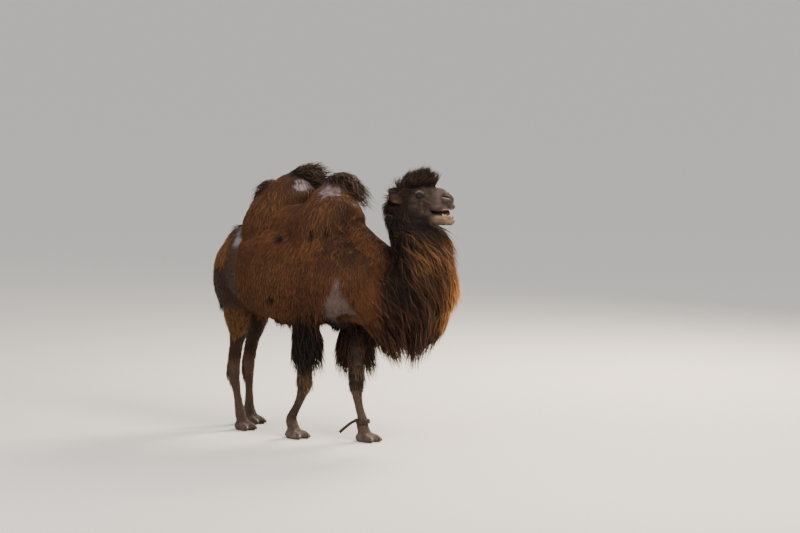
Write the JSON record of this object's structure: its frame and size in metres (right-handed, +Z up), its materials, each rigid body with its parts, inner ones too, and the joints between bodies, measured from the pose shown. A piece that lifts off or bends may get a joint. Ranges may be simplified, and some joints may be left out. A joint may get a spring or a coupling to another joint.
{
  "type": "bactrian camel",
  "caption": "Life-size standing Bactrian camel in moulting winter wool, head turned to its left, mouth a little open, a hobble on one pastern.",
  "frame": {"origin": "middle of the outer box at floor level, between the soles", "axes": "+X towards the head end of the body, +Y to the camel's left, +Z up"},
  "size_m": [2.4294, 1.0358, 2.2758],
  "materials": {
    "wool": "long matted umber wool",
    "mane": "long dark brown strands",
    "hide": "thinly haired grey-brown hide",
    "eye": "dark wet eyeball",
    "nail": "blunt dark horn",
    "hobble": "stiff dark twisted hide"
  },
  "bodies": {
    "root": {"ear_left": "mane", "ear_right": "mane", "eye_left": "eye", "eye_right": "eye", "foot_fore_left": "hide", "foot_fore_right": "hide", "foot_hind_left": "hide", "foot_hind_right": "hide", "head": "hide", "hobble_cuff": "hobble", "hobble_strap": "hobble", "hump_front": "wool", "hump_rear": "wool", "leg_fore_left_lower": "hide", "leg_fore_left_upper": "mane", "leg_fore_right_lower": "hide", "leg_fore_right_upper": "mane", "leg_hind_left_lower": "hide", "leg_hind_left_upper": "wool", "leg_hind_right_lower": "hide", "leg_hind_right_upper": "wool", "nail_fore_left_left": "nail", "nail_fore_left_right": "nail", "nail_fore_right_left": "nail", "nail_fore_right_right": "nail", "nail_hind_left_left": "nail", "nail_hind_left_right": "nail", "nail_hind_right_left": "nail", "nail_hind_right_right": "nail", "neck": "mane", "tail": "mane", "trunk": "wool"}
  },
  "joints": []
}
